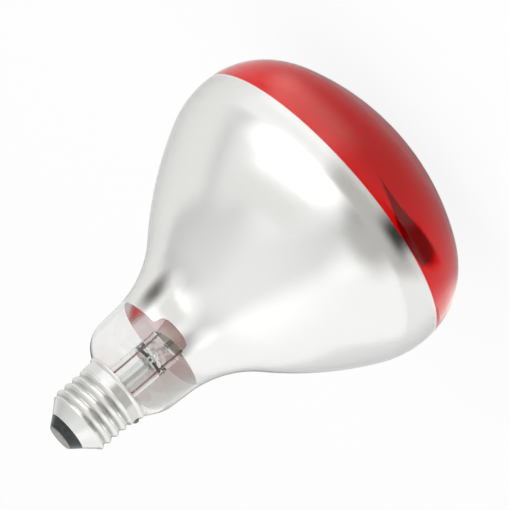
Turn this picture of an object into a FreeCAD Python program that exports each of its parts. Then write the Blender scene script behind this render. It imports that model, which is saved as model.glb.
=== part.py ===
"""Infrared reflector lamp: a blown glass bulb with a red face, an inside mirror and a screw cap.

The lamp stands on its face. Z runs up the bulb's axis, from the middle of the face (z = 0) to the cap.
The photograph's camera looks along +Y. Millimetres throughout.
"""
import FreeCAD, Part
import math
import os
import re

import Sketcher

DOC = FreeCAD.newDocument("reflector_lamp")
SHEET = DOC.addObject("Spreadsheet::Sheet", "sizes")

# Driving sizes, in millimetres and degrees
SIZES = {
    # the bulb's outer wall, as arcs that run on from each other from the face to the cap
    "bulb_diameter": 125.0,
    "crown_radius": 92.0,
    "knuckle_radius": 30.0,
    "knuckle_angle": 84.5,
    "shoulder_radius": 38.0,
    "shoulder_angle": 116.5,
    "flank_radius": 139.0,
    "throat_radius": 42.5,
    "neck_diameter": 40.6,
    "neck_taper": 3.6,
    "neck_length": 7.4,
    "neck_end_radius": 14.5,
    "glass_wall": 1.0,
    # films on the inside of the wall
    "film_gap": 0.06,
    "film_thickness": 0.15,
    "red_height": 37.2,
    "mirror_height": 116.6,
    "window_width": 14.6,
    "window_depth": 4.3,
    # the stem and the cap sit off the bulb's axis by this much
    "cap_offset": 1.9,
    # screw cap, measured up from its rim
    "rim_flare": 0.8,
    "rim_clearance": 0.1,
    "rim_height": 0.5,
    "flare_height": 1.6,
    "skirt_step": 0.1,
    "skirt_height": 5.0,
    "thread_diameter": 26.2,
    "thread_depth": 1.0,
    "thread_pitch": 3.629,
    "thread_start": 2.43,
    "barrel_height": 19.6,
    "cone_height": 4.6,
    "shell_mouth_diameter": 16.1,
    "shell_wall": 0.35,
    "insulator_seat": 2.0,
    "insulator_height": 3.35,
    "insulator_nose_diameter": 10.9,
    "insulator_bore": 2.4,
    "contact_diameter": 10.4,
    "contact_thickness": 0.5,
    "eyelet_bore": 1.4,
    "eyelet_length": 2.6,
    "tip_solder_diameter": 5.0,
    "tip_solder_depth": 0.3,
    "side_solder_radius": 1.5,
    "side_solder_proud": 1.0,
    "cement_base": 0.8,
    "cement_width": 2.5,
    # glass stem, measured down from the seal between the neck and the flare
    "stem_diameter": 14.2,
    "stem_wall": 1.0,
    "seal_gap": 1.3,
    "flange_thickness": 1.0,
    "flange_inset": 0.1,
    "flange_clearance": 1.0,
    "tube_length": 15.2,
    "press_taper": 3.5,
    "press_thickness": 5.2,
    "press_length": 9.3,
    "exhaust_diameter": 5.0,
    "exhaust_wall": 1.0,
    "exhaust_hole": 1.8,
    "cane_diameter": 3.0,
    "cane_length": 17.0,
    "button_diameter": 5.2,
    # wires
    "lead_inset": 1.2,
    "lead_diameter": 0.8,
    "lead_bend_radius": 1.2,
    "lead_clearance": 0.1,
    "tip_clearance": 1.0,
    "tip_room": 3.0,
    "post_diameter": 1.0,
    "post_straight": 11.5,
    "post_spread": 22.0,
    "post_tip": 5.0,
    # filament and its hooks
    "filament_drop": 27.5,
    "coil_diameter": 2.2,
    "coil_length": 18.0,
    "coil_leg_diameter": 0.4,
    "hook_wire": 0.35,
    "hook_spacing": 6.0,
    "hook_clearance": 0.2,
    # heat shield between the press and the filament
    "shield_diameter": 14.8,
    "shield_height": 6.2,
    "shield_wall": 0.4,
    "shield_gap": 1.9,
    "shield_tilt": 9.0,
    "shield_lead_hole": 3.4,
    "shield_wire": 0.6,
    "shield_wire_spacing": 5.0,
}

# Sizes that follow from the driving ones: where the wall's arcs meet, and where the cap and the stem sit
FOLLOWING = {
    "skirt_diameter": "thread_diameter + 2 * skirt_step",
    "rim_diameter": "skirt_diameter + 2 * rim_flare",
    "crown_end": "asin((bulb_diameter / 2 - shoulder_radius + (shoulder_radius - knuckle_radius)"
                 " * sin(knuckle_angle)) / (crown_radius - knuckle_radius))",
    "crown_end_x": "crown_radius * sin(crown_end)",
    "crown_end_z": "crown_radius * (1 - cos(crown_end))",
    "knuckle_end_x": "crown_end_x + knuckle_radius * (sin(knuckle_angle) - sin(crown_end))",
    "knuckle_end_z": "crown_end_z + knuckle_radius * (cos(crown_end) - cos(knuckle_angle))",
    "shoulder_end_x": "knuckle_end_x + shoulder_radius * (sin(shoulder_angle) - sin(knuckle_angle))",
    "shoulder_end_z": "knuckle_end_z + shoulder_radius * (cos(knuckle_angle) - cos(shoulder_angle))",
    "neck_angle": "90 + neck_taper",
    "flank_end": "180 - asin((neck_diameter / 2 - shoulder_end_x + flank_radius * sin(shoulder_angle)"
                 " + throat_radius * sin(neck_angle)) / (flank_radius + throat_radius)) / 1deg",
    "flank_end_x": "shoulder_end_x + flank_radius * (sin(flank_end) - sin(shoulder_angle))",
    "flank_end_z": "shoulder_end_z + flank_radius * (cos(shoulder_angle) - cos(flank_end))",
    "throat_end_x": "neck_diameter / 2",
    "throat_end_z": "flank_end_z + throat_radius * (cos(neck_angle) - cos(flank_end))",
    "neck_end_x": "throat_end_x - neck_length * sin(neck_taper)",
    "neck_end_z": "throat_end_z + neck_length * cos(neck_taper)",
    "end_arc_x": "neck_end_x - neck_end_radius * sin(neck_angle)",
    "end_arc_z": "neck_end_z + neck_end_radius * cos(neck_angle)",
    "seal_z": "end_arc_z + sqrt((neck_end_radius - glass_wall)^2"
              " - (stem_diameter / 2 + seal_gap - end_arc_x)^2)",
    "rim_z": "end_arc_z + sqrt(neck_end_radius^2"
             " - (rim_diameter / 2 - shell_wall - rim_clearance - end_arc_x)^2)",
    "thread_root": "thread_diameter / 2 - thread_depth",
    "skirt_bore": "skirt_diameter / 2 - shell_wall",
    "shell_height": "barrel_height + cone_height",
    "plug_z": "barrel_height + insulator_seat",
    "plug_radius": "shell_mouth_diameter / 2 - shell_wall + (cone_height - insulator_seat)"
                   " * (thread_root - shell_mouth_diameter / 2) / cone_height",
    "nose_z": "shell_height + insulator_height",
    "contact_z": "nose_z + contact_thickness",
    "flange_radius": "min(end_arc_x + sqrt(neck_end_radius^2 - (seal_z - end_arc_z)^2) - flange_inset;"
                     " skirt_bore - flange_clearance)",
    "lead_spacing": "stem_diameter - 2 * stem_wall - 2 * lead_inset",
    "exhaust_reach": "rim_z + plug_z - tip_room - exhaust_diameter / 2 - seal_z",
    "side_lead_z": "flange_thickness + lead_clearance + lead_diameter / 2",
    "centre_lead_z": "exhaust_reach + exhaust_diameter / 2 + tip_clearance + lead_diameter / 2",
    "shield_z": "-tube_length - press_length - shield_gap - shield_height",
    "filament_z": "-tube_length - press_length - filament_drop",
    "ring_radius": "coil_diameter / 2 + hook_clearance + hook_wire / 2",
}

NECK_SECTIONS = 8
LEAN_POWER = 5
HOOK_FLATS = 8


def fill_sheet():
    rows = [(name, str(value)) for name, value in SIZES.items()]
    rows += [(name, "=" + formula) for name, formula in FOLLOWING.items()]
    for row, (name, content) in enumerate(rows, 1):
        SHEET.set(f"A{row}", name)
        SHEET.set(f"B{row}", content)
        SHEET.setAlias(f"B{row}", name)
    DOC.recompute()


def size(name):
    value = getattr(SHEET, name)
    return float(getattr(value, "Value", value))


def bound(formula):
    """A formula in the sheet's words, each of which holds an underscore, as an expression."""
    return re.sub(r"\b([a-z]+_[a-z_]+)\b", r"sizes.\1", formula)


def worth(formula):
    value = SHEET.evalExpression(bound(formula))
    return float(getattr(value, "Value", value))


def arc_between(start, end, radius, side):
    """An arc from start to end. side is 1 where it turns left on the way, -1 where it turns right."""
    chord = end - start
    rise = math.sqrt(max(radius ** 2 - chord.Length ** 2 / 4, 0))
    left = FreeCAD.Vector(-chord.y, chord.x, 0).normalize()
    centre = (start + end) / 2 + left * rise * side
    middle = centre - left * radius * side
    return Part.Arc(start, middle, end)


def draw(sketch, corners, closed=True):
    """Lines and arcs through corners, each held by the sheet's sizes.

    A corner is (x, y), or (x, y, radius, side) where an arc leads on from it.
    """
    places = [FreeCAD.Vector(worth(c[0]), worth(c[1]), 0) for c in corners]
    count = len(corners) if closed else len(corners) - 1
    for i in range(count):
        start, end = places[i], places[(i + 1) % len(places)]
        if len(corners[i]) > 2:
            sketch.addGeometry(arc_between(start, end, worth(corners[i][2]), corners[i][3]))
        else:
            sketch.addGeometry(Part.LineSegment(start, end))

    def ends(i):
        """Which end of piece i is its first along the outline, and which its last."""
        first = sketch.getPoint(i, 1)
        return (1, 2) if first.distanceToPoint(places[i]) < 1e-4 else (2, 1)

    def hold(kind, piece, end, axis, formula, value):
        if formula == "0":
            sketch.addConstraint(Sketcher.Constraint("PointOnObject", piece, end, axis))
            return
        index = sketch.addConstraint(Sketcher.Constraint(kind, -1, 1, piece, end, value))
        sketch.setExpression(f"Constraints[{index}]", bound(formula))

    for i in range(count):
        first, last = ends(i)
        if closed or i < count - 1:
            follower = (i + 1) % count
            sketch.addConstraint(Sketcher.Constraint("Coincident", i, last, follower, ends(follower)[0]))
        hold("DistanceX", i, first, -2, corners[i][0], places[i].x)
        hold("DistanceY", i, first, -1, corners[i][1], places[i].y)
        if len(corners[i]) > 2:
            index = sketch.addConstraint(Sketcher.Constraint("Radius", i, worth(corners[i][2])))
            sketch.setExpression(f"Constraints[{index}]", bound(corners[i][2]))
    if not closed:
        last = ends(count - 1)[1]
        hold("DistanceX", count - 1, last, -2, corners[-1][0], places[-1].x)
        hold("DistanceY", count - 1, last, -1, corners[-1][1], places[-1].y)


def place(thing, x="0", z="0"):
    thing.setExpression("Placement.Base.x", bound(x))
    thing.setExpression("Placement.Base.z", bound(z))
    return thing


def new_body(name):
    body = DOC.addObject("PartDesign::Body", name + "_body")
    body.Label = name + "_body"
    return body


def sketch_on(body, plane, name):
    sketch = body.newObject("Sketcher::SketchObject", name + "_sketch")
    base = next(o for o in body.Origin.OriginFeatures if o.Role == plane)
    sketch.AttachmentSupport = [(base, "")]
    sketch.MapMode = "FlatFace"
    return sketch


def turned(name, corners, x="0", z="0"):
    """A body turned about its own Z axis from corners (radius, height)."""
    body = new_body(name)
    sketch = sketch_on(body, "XZ_Plane", name)
    draw(sketch, corners)
    spin = body.newObject("PartDesign::Revolution", name + "_turn")
    spin.Profile = (sketch, [""])
    spin.ReferenceAxis = (sketch, ["V_Axis"])
    spin.Angle = 360
    return place(body, x, z)


def padded(name, plane, corners, depth, x="0", z="0"):
    """A body of one outline padded by depth, half to each side of its plane."""
    body = new_body(name)
    sketch = sketch_on(body, plane, name)
    draw(sketch, corners)
    pad = body.newObject("PartDesign::Pad", name + "_pad")
    pad.Profile = (sketch, [""])
    pad.Midplane = True
    pad.setExpression("Length", bound(depth))
    return place(body, x, z)


def rod(name, diameter, length, x="0", z="0", y="0"):
    thing = DOC.addObject("Part::Cylinder", name)
    thing.setExpression("Radius", bound(f"({diameter}) / 2"))
    thing.setExpression("Height", bound(length))
    thing.setExpression("Placement.Base.y", bound(y))
    return place(thing, x, z)


def bent_wire(name, diameter, corners, x="0", z="0"):
    """A round wire along corners (x, z) in the XZ plane. Its first run is upright."""
    path = DOC.addObject("Sketcher::SketchObject", name + "_path")
    path.Placement.Rotation = FreeCAD.Rotation(FreeCAD.Vector(1, 0, 0), 90)
    draw(path, corners, closed=False)
    place(path, x, z)
    ring = DOC.addObject("Part::Circle", name + "_ring")
    ring.setExpression("Radius", bound(f"({diameter}) / 2"))
    place(ring, f"{x} + {corners[0][0]}", f"{z} + {corners[0][1]}")
    wire = DOC.addObject("Part::Sweep", name)
    wire.Sections = [ring]
    wire.Spine = (path, [])
    wire.Solid = True
    wire.Transition = "Round corner"
    return wire


def cut(name, base, *tools):
    for i, tool in enumerate(tools, 1):
        step = DOC.addObject("Part::Cut", name if i == len(tools) else f"{name}_cut_{i}")
        step.Base, step.Tool = base, tool
        base = step
    return base


def fused(name, *pieces):
    step = DOC.addObject("Part::MultiFuse", name)
    step.Shapes = list(pieces)
    step.Refine = True
    return step


def shared(name, *pieces):
    step = DOC.addObject("Part::MultiCommon", name)
    step.Shapes = list(pieces)
    return step


def bulb_solid(name, inset):
    """The bulb from its face to the end of the straight neck, filled, with its wall moved in by inset."""
    def joint(stem, angle):
        return (f"{stem}_x - ({inset}) * sin({angle})", f"{stem}_z + ({inset}) * cos({angle})")

    end_radius = f"end_arc_x + sqrt((neck_end_radius - ({inset}))^2 - (neck_end_z - end_arc_z)^2)"
    return turned(name, [
        ("0", inset, f"crown_radius - ({inset})", 1),
        (*joint("crown_end", "crown_end"), f"knuckle_radius - ({inset})", 1),
        (*joint("knuckle_end", "knuckle_angle"), f"shoulder_radius - ({inset})", 1),
        (*joint("shoulder_end", "shoulder_angle"), f"flank_radius - ({inset})", 1),
        (*joint("flank_end", "flank_end"), f"throat_radius + {inset}", -1),
        joint("throat_end", "neck_angle"),
        (end_radius, "neck_end_z"),
        ("0", "neck_end_z"),
    ])


def neck_end(name, inset):
    """The neck's rounded end, which leans over to the stem's axis on its way up to the seal."""
    rings = []
    for i in range(NECK_SECTIONS + 1):
        z = f"(neck_end_z + (seal_z - neck_end_z) * sin({90 * i / NECK_SECTIONS}))"
        lean = f"min(({z} - neck_end_z) / (rim_z - neck_end_z); 1)^{LEAN_POWER}"
        ring = DOC.addObject("Part::Circle", f"{name}_ring_{i}")
        ring.setExpression("Radius", bound(
            f"end_arc_x + sqrt((neck_end_radius - ({inset}))^2 - ({z} - end_arc_z)^2)"))
        rings.append(place(ring, f"-cap_offset * {lean}", z))
    end = DOC.addObject("Part::Loft", name)
    end.Sections = rings
    end.Solid = True
    end.Ruled = True
    return end


def glass_envelope():
    outer = fused("bulb_outside", bulb_solid("bulb_outer", "0"), neck_end("neck_end_outer", "0"))
    inner = fused("bulb_inside", bulb_solid("bulb_inner", "glass_wall"),
                  neck_end("neck_end_inner", "glass_wall"))
    return cut("glass_envelope", outer, inner), outer


def films():
    """The red film on the face and the mirror behind it, both on the inside of the glass."""
    inside = bulb_solid("film_outer", "glass_wall + film_gap")
    lining = cut("lining", inside, bulb_solid("film_inner", "glass_wall + film_gap + film_thickness"))
    red = shared("red_coating", lining, rod("red_zone", "2 * bulb_diameter", "red_height"))
    band = shared("mirror_band", lining,
                  rod("mirror_zone", "2 * bulb_diameter", "mirror_height - red_height", z="red_height"))
    window = DOC.addObject("Part::Box", "mirror_window")
    window.setExpression("Length", bound("window_width"))
    window.setExpression("Width", bound("neck_diameter"))
    window.setExpression("Height", bound("2 * window_depth"))
    window.setExpression("Placement.Base.y", bound("-neck_diameter"))
    place(window, "-window_width / 2", "mirror_height - window_depth")
    return {"red_coating": red, "mirror_coating": cut("mirror_coating", band, window)}


def thread_ridge(name, core, crest):
    """The rolled thread's rib, wound right-handed, from radius core to radius crest."""
    helix = DOC.addObject("Part::Helix", name + "_helix")
    helix.setExpression("Pitch", bound("thread_pitch"))
    helix.setExpression("Height", bound("barrel_height + 1 - thread_start"))
    helix.setExpression("Radius", bound(core))
    place(helix, "-cap_offset", "rim_z + thread_start")
    profile = DOC.addObject("Sketcher::SketchObject", name + "_profile")
    profile.Placement.Rotation = FreeCAD.Rotation(FreeCAD.Vector(1, 0, 0), 90)
    root = f"{core} - shell_wall / 2"
    bend = f"{core} + 0.65 * ({crest} - ({core}))"
    draw(profile, [
        (root, "-0.385 * thread_pitch"),
        (bend, "-0.22 * thread_pitch"),
        (crest, "-0.085 * thread_pitch"),
        (crest, "0.085 * thread_pitch"),
        (bend, "0.22 * thread_pitch"),
        (root, "0.385 * thread_pitch"),
    ])
    place(profile, "-cap_offset", "rim_z + thread_start")
    rib = DOC.addObject("Part::Sweep", name + "_rib")
    rib.Sections = [profile]
    rib.Spine = (helix, [])
    rib.Solid = True
    rib.Frenet = True
    return rib


def shell_form(name, inset):
    """The cap's shell as a filled form, its skin moved in by inset: skirt, thread and cone."""
    rim = f"rim_diameter / 2 - {inset}"
    skirt = f"skirt_diameter / 2 - {inset}"
    core = f"thread_root - {inset}"
    crest = f"thread_diameter / 2 - {inset}"
    mouth = f"shell_mouth_diameter / 2 - {inset}"
    form = turned(name + "_form", [
        ("0", "0"), (rim, "0"), (rim, "rim_height"), (skirt, "flare_height"), (skirt, "skirt_height"),
        (core, "skirt_height + thread_depth"), (core, "barrel_height"), (mouth, "shell_height"),
        ("0", "shell_height"),
    ], "-cap_offset", "rim_z")
    # the rib fades out where it runs on to the cone
    limit = turned(name + "_limit", [
        ("0", "0"), (f"2 * ({crest})", "0"), (f"2 * ({crest})", "barrel_height - thread_depth"),
        (crest, "barrel_height - thread_depth"), (core, "barrel_height + thread_depth / 2"),
        ("0", "barrel_height + thread_depth / 2"),
    ], "-cap_offset", "rim_z")
    rib = shared(name + "_thread", thread_ridge(name, core, crest), limit)
    return fused(name, form, rib)


def cap_pieces(outer_glass, side_lead, centre_lead, stem):
    """Everything in and on the screw cap. Heights are measured from the cap's rim."""
    at = ("-cap_offset", "rim_z")
    outside = shell_form("shell_outside", "0")
    shell = cut("shell_blank", outside, shell_form("shell_inside", "shell_wall"))
    mouth = "shell_mouth_diameter / 2"
    insulator = turned("cap_insulator", [
        ("insulator_bore / 2", "plug_z"),
        ("plug_radius", "plug_z"),
        (f"{mouth} - shell_wall", "shell_height"),
        (mouth, "shell_height"),
        ("insulator_nose_diameter / 2", "nose_z"),
        ("insulator_bore / 2", "nose_z"),
    ], *at)
    contact = turned("centre_contact", [
        ("eyelet_bore / 2", "nose_z - eyelet_length"),
        ("insulator_bore / 2", "nose_z - eyelet_length"),
        ("insulator_bore / 2", "nose_z"),
        ("contact_diameter / 2", "nose_z"),
        ("contact_diameter / 2", "nose_z + contact_thickness / 2"),
        ("contact_diameter / 2 - contact_thickness / 2", "contact_z"),
        ("tip_solder_diameter / 2", "contact_z"),
        ("eyelet_bore / 2", "contact_z - tip_solder_depth"),
    ], *at)
    tip = turned("centre_solder", [
        ("0", "contact_z - tip_solder_depth"),
        ("eyelet_bore / 2", "contact_z - tip_solder_depth"),
        ("tip_solder_diameter / 2", "contact_z"),
        ("0", "contact_z"),
    ], *at)
    blob = DOC.addObject("Part::Sphere", "side_solder_ball")
    blob.setExpression("Radius", bound("side_solder_radius"))
    place(blob, "-cap_offset - skirt_diameter / 2 - side_solder_proud + side_solder_radius",
          "seal_z + side_lead_z")
    ring = turned("cement_ring", [
        ("skirt_bore - cement_width", "cement_base"),
        ("skirt_bore", "cement_base"),
        ("skirt_bore", "skirt_height"),
        ("skirt_bore - cement_width", "skirt_height"),
    ], *at)
    return {
        "cap_shell": cut("cap_shell", shell, side_lead),
        "cap_insulator": insulator,
        "centre_contact": contact,
        "centre_solder": tip,
        "side_solder": cut("side_solder", blob, outside, side_lead),
        "basing_cement": cut("basing_cement", ring, outer_glass, stem, side_lead),
    }


def stem_pieces():
    """The pressed glass stem with its wires, shield and filament. Heights are measured from the seal."""
    at = ("-cap_offset", "seal_z")
    press_end = "-tube_length - press_length"
    lead_x = "lead_spacing / 2"
    tube = turned("flare_tube", [
        ("0", "-tube_length - stem_wall"),
        ("stem_diameter / 2", "-tube_length - stem_wall"),
        ("stem_diameter / 2", "-seal_gap", "seal_gap", -1),
        ("stem_diameter / 2 + seal_gap", "0"),
        ("flange_radius", "0"),
        ("flange_radius", "flange_thickness"),
        ("stem_diameter / 2 - stem_wall + seal_gap", "flange_thickness", "seal_gap", 1),
        ("stem_diameter / 2 - stem_wall", "flange_thickness - seal_gap"),
        ("stem_diameter / 2 - stem_wall", "-tube_length"),
        ("0", "-tube_length"),
    ], *at)
    wedge = padded("press_wedge", "YZ_Plane", [
        ("-stem_diameter / 2", "-tube_length"),
        ("-press_thickness / 2", "-tube_length - press_taper"),
        ("-press_thickness / 2", press_end),
        ("press_thickness / 2", press_end),
        ("press_thickness / 2", "-tube_length - press_taper"),
        ("stem_diameter / 2", "-tube_length"),
    ], "2 * stem_diameter", *at)
    barrel = rod("press_barrel", "stem_diameter", "press_length", "-cap_offset", f"seal_z + {press_end}")
    press = shared("press", wedge, barrel)

    exhaust = turned("exhaust_tube", [
        ("exhaust_diameter / 2 - exhaust_wall", "-tube_length"),
        ("exhaust_diameter / 2", "-tube_length"),
        ("exhaust_diameter / 2", "exhaust_reach", "exhaust_diameter / 2", 1),
        ("0", "exhaust_reach + exhaust_diameter / 2"),
        ("0", "exhaust_reach + exhaust_diameter / 2 - exhaust_wall",
         "exhaust_diameter / 2 - exhaust_wall", -1),
        ("exhaust_diameter / 2 - exhaust_wall", "exhaust_reach"),
    ], *at)

    seals, posts = [], []
    legs = rod("filament_legs", "coil_leg_diameter", "post_spread + post_diameter", *at)
    legs.Placement.Rotation = FreeCAD.Rotation(FreeCAD.Vector(0, 1, 0), 90)
    place(legs, "-cap_offset - post_spread / 2 - post_diameter / 2", "seal_z + filament_z")
    for number, sign in ((1, ""), (2, "-")):
        x = f"{sign}{lead_x}"
        seals.append(rod(f"seal_wire_{number}", "lead_diameter", "press_length", f"-cap_offset + {x}",
                         f"seal_z + {press_end}"))
        post = bent_wire(f"post_{number}", "post_diameter", [
            (x, press_end),
            (x, f"{press_end} - post_straight"),
            (f"{sign}post_spread / 2", "filament_z + post_tip"),
            (f"{sign}post_spread / 2", "filament_z - post_diameter"),
        ], *at)
        posts.append(cut(f"inner_lead_{number}", post, legs))

    turn = "lead_bend_radius"
    centre_lead = bent_wire("outer_lead_1", "lead_diameter", [
        (lead_x, "-tube_length"),
        (lead_x, f"centre_lead_z - {turn}", turn, 1),
        (f"{lead_x} - {turn}", "centre_lead_z"),
        (turn, "centre_lead_z", turn, -1),
        ("0", f"centre_lead_z + {turn}"),
        ("0", "rim_z + contact_z - tip_solder_depth - seal_z"),
    ], *at)
    side_lead = bent_wire("outer_lead_2", "lead_diameter", [
        (f"-{lead_x}", "-tube_length"),
        (f"-{lead_x}", f"side_lead_z - {turn}", turn, 1),
        (f"-{lead_x} - {turn}", "side_lead_z"),
        ("-skirt_diameter / 2 - side_solder_proud / 2", "side_lead_z"),
    ], *at)

    hole = rod("exhaust_hole_down", "exhaust_hole", "press_taper", "-cap_offset",
               "seal_z - tube_length - press_taper")
    side_hole = rod("exhaust_hole_out", "exhaust_hole", "stem_diameter")
    side_hole.Placement.Rotation = FreeCAD.Rotation(FreeCAD.Vector(1, 0, 0), 90)
    place(side_hole, "-cap_offset", "seal_z - tube_length - press_taper")
    stem = cut("stem_glass", fused("stem_blank", tube, press), *seals, hole, side_hole)

    hooks = hook_wires(at)
    cane_blank = turned("cane", [
        ("0", press_end),
        ("0", f"{press_end} - cane_length - button_diameter / 2"),
        ("button_diameter / 2", f"{press_end} - cane_length", "button_diameter / 2", 1),
        ("cane_diameter / 2", f"{press_end} - cane_length + sqrt(button_diameter^2 - cane_diameter^2) / 2"),
        ("cane_diameter / 2", press_end),
    ][::-1], *at)
    coil = rod("coil_form", "coil_diameter", "coil_length")
    coil.Placement.Rotation = FreeCAD.Rotation(FreeCAD.Vector(0, 1, 0), 90)
    place(coil, "-cap_offset - coil_length / 2", "seal_z + filament_z")

    pieces = {
        "stem_glass": stem,
        "exhaust_tube": exhaust,
        "support_rod": cut("support_rod", cane_blank, *hooks),
        "outer_lead_1": centre_lead,
        "outer_lead_2": side_lead,
        "filament": fused("filament", coil, legs),
    }
    for number in (1, 2):
        pieces[f"seal_wire_{number}"] = seals[number - 1]
        pieces[f"inner_lead_{number}"] = posts[number - 1]
    for number, hook in enumerate(hooks, 1):
        pieces[f"filament_hook_{number}"] = hook
    pieces.update(shield_pieces(at, press_end, cane_blank))
    return pieces


def hook_eye(number, x, z):
    """A hook's open eye, bent in flats from its top round the coil, in the plane across it."""
    path = DOC.addObject("Sketcher::SketchObject", f"hook_eye_{number}_path")
    path.Placement.Rotation = FreeCAD.Rotation(FreeCAD.Vector(1, 1, 1), 120)
    turn = 360 / HOOK_FLATS
    draw(path, [(f"ring_radius * sin({turn * i})", f"ring_radius * cos({turn * i})")
                for i in range(HOOK_FLATS)], closed=False)
    place(path, x, z)
    ring = DOC.addObject("Part::Circle", f"hook_eye_{number}_ring")
    ring.Placement.Rotation = FreeCAD.Rotation(FreeCAD.Vector(1, 0, 0), -90 - turn / 2)
    ring.setExpression("Radius", bound("hook_wire / 2"))
    place(ring, x, f"{z} + ring_radius")
    eye = DOC.addObject("Part::Sweep", f"hook_eye_{number}")
    eye.Sections = [ring]
    eye.Spine = (path, [])
    eye.Solid = True
    eye.Transition = "Right corner"
    return eye


def hook_wires(at):
    """Thin hooks that fan out from the cane's button, each with an eye round the coil."""
    hooks = []
    button = "-tube_length - press_length - cane_length"
    for number, step in ((1, "-1"), (2, "0"), (3, "1")):
        shank = bent_wire(f"hook_shank_{number}", "hook_wire", [
            (f"{step} * button_diameter / 4", button),
            (f"{step} * button_diameter / 4", f"{button} - button_diameter / 2 - hook_wire"),
            (f"{step} * hook_spacing", "filament_z + ring_radius"),
        ], *at)
        eye = hook_eye(number, f"-cap_offset + {step} * hook_spacing", "seal_z + filament_z")
        hooks.append(fused(f"filament_hook_{number}", shank, eye))
    return hooks


def shield_pieces(at, press_end, cane):
    """A shallow metal cup, open to the press, on two stiff wires. It stands a little askew."""
    cup = turned("shield_cup", [
        ("0", "0"),
        ("shield_diameter / 2 - shield_wall", "0", "shield_wall", 1),
        ("shield_diameter / 2", "shield_wall"),
        ("shield_diameter / 2", "shield_height"),
        ("shield_diameter / 2 - shield_wall", "shield_height"),
        ("shield_diameter / 2 - shield_wall", "shield_wall"),
        ("0", "shield_wall"),
    ], "-cap_offset", "seal_z + shield_z")
    cup.Placement.Rotation = FreeCAD.Rotation(FreeCAD.Vector(0, 1, 0), -size("shield_tilt"))
    place(cup, "-cap_offset", "seal_z + shield_z")
    drop = "shield_gap + shield_height + shield_wall + 0.5 * shield_gap"
    wires, holes = [], []
    for number, sign in ((1, ""), (2, "-")):
        x = f"-cap_offset + {sign}lead_spacing / 2"
        holes.append(rod(f"shield_lead_hole_{number}", "shield_lead_hole", "2 * shield_height", x,
                         "seal_z + shield_z - shield_height"))
        wires.append(rod(f"shield_wire_{number}", "shield_wire", drop, "-cap_offset",
                         f"seal_z + {press_end} - ({drop})", f"{sign}shield_wire_spacing / 2"))
    return {
        "heat_shield": cut("heat_shield", cup, cane, *holes, *wires),
        "shield_wire_1": wires[0],
        "shield_wire_2": wires[1],
    }


def check(nodes):
    for thing in DOC.Objects:
        bad = [state for state in thing.State if state in ("Invalid", "Error")]
        if bad:
            raise RuntimeError(f"{thing.Name} is {bad[0]}")
    for name, thing in nodes.items():
        shape = thing.Shape
        if shape.isNull() or not shape.isValid() or not shape.Solids:
            raise RuntimeError(f"{name} has no valid shape")


def main():
    fill_sheet()
    envelope, outer_glass = glass_envelope()
    nodes = {"glass_envelope": envelope, **films(), **stem_pieces()}
    nodes.update(cap_pieces(outer_glass, nodes["outer_lead_2"], nodes["outer_lead_1"], nodes["stem_glass"]))
    DOC.recompute()
    check(nodes)
    os.makedirs("parts", exist_ok=True)
    for name, thing in nodes.items():
        thing.Label = name
        thing.Shape.exportStep(f"parts/{name}.step")
        box = thing.Shape.BoundBox
        print(f"{name}: {len(thing.Shape.Solids)} solid, {thing.Shape.Volume:.1f} mm3,"
              f" z {box.ZMin:.2f} to {box.ZMax:.2f}, x {box.XMin:.2f} to {box.XMax:.2f}")


main()
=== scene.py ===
"""Looks of the infrared reflector lamp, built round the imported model.

Lengths are in millimetres and are turned into metres where a mesh or a material is made. The
stage's distances are in metres. Z runs up the bulb's axis from the middle of the face to the
cap, and the photograph's camera looks along +Y.
"""
import bisect
import math

import bmesh
import bpy
from mathutils import Matrix, Vector

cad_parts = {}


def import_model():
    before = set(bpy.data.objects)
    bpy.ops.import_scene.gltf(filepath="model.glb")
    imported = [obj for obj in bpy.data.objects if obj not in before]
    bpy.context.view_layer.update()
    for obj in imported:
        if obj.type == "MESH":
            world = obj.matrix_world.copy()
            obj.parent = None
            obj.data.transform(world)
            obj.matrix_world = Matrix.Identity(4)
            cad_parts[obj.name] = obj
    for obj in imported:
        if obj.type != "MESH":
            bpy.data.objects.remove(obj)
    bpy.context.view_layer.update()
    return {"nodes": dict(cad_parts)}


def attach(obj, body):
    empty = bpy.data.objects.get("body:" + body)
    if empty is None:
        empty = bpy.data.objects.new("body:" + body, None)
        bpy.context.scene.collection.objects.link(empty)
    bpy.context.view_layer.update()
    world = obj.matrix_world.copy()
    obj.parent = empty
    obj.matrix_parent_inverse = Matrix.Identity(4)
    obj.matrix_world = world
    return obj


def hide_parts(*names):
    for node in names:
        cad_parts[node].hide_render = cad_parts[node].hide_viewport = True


MM = 0.001
SHARP_ANGLE = math.radians(50)

# The bulb's outer wall, as arcs from the face to the cap
BULB_RADIUS = 62.5
CROWN_RADIUS = 92.0
KNUCKLE_RADIUS = 30.0
KNUCKLE_ANGLE = math.radians(84.5)
SHOULDER_RADIUS = 38.0
SHOULDER_ANGLE = math.radians(116.5)
FLANK_RADIUS = 139.0
THROAT_RADIUS = 42.5
NECK_RADIUS = 20.3
NECK_TAPER = math.radians(3.6)
NECK_ANGLE = math.pi / 2 + NECK_TAPER
NECK_LENGTH = 7.4
NECK_END_RADIUS = 14.5
NECK_END_ROWS = 26
GLASS_WALL = 1.0
BULB_STEP = 1.3
BULB_SEGMENTS = 192

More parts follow.
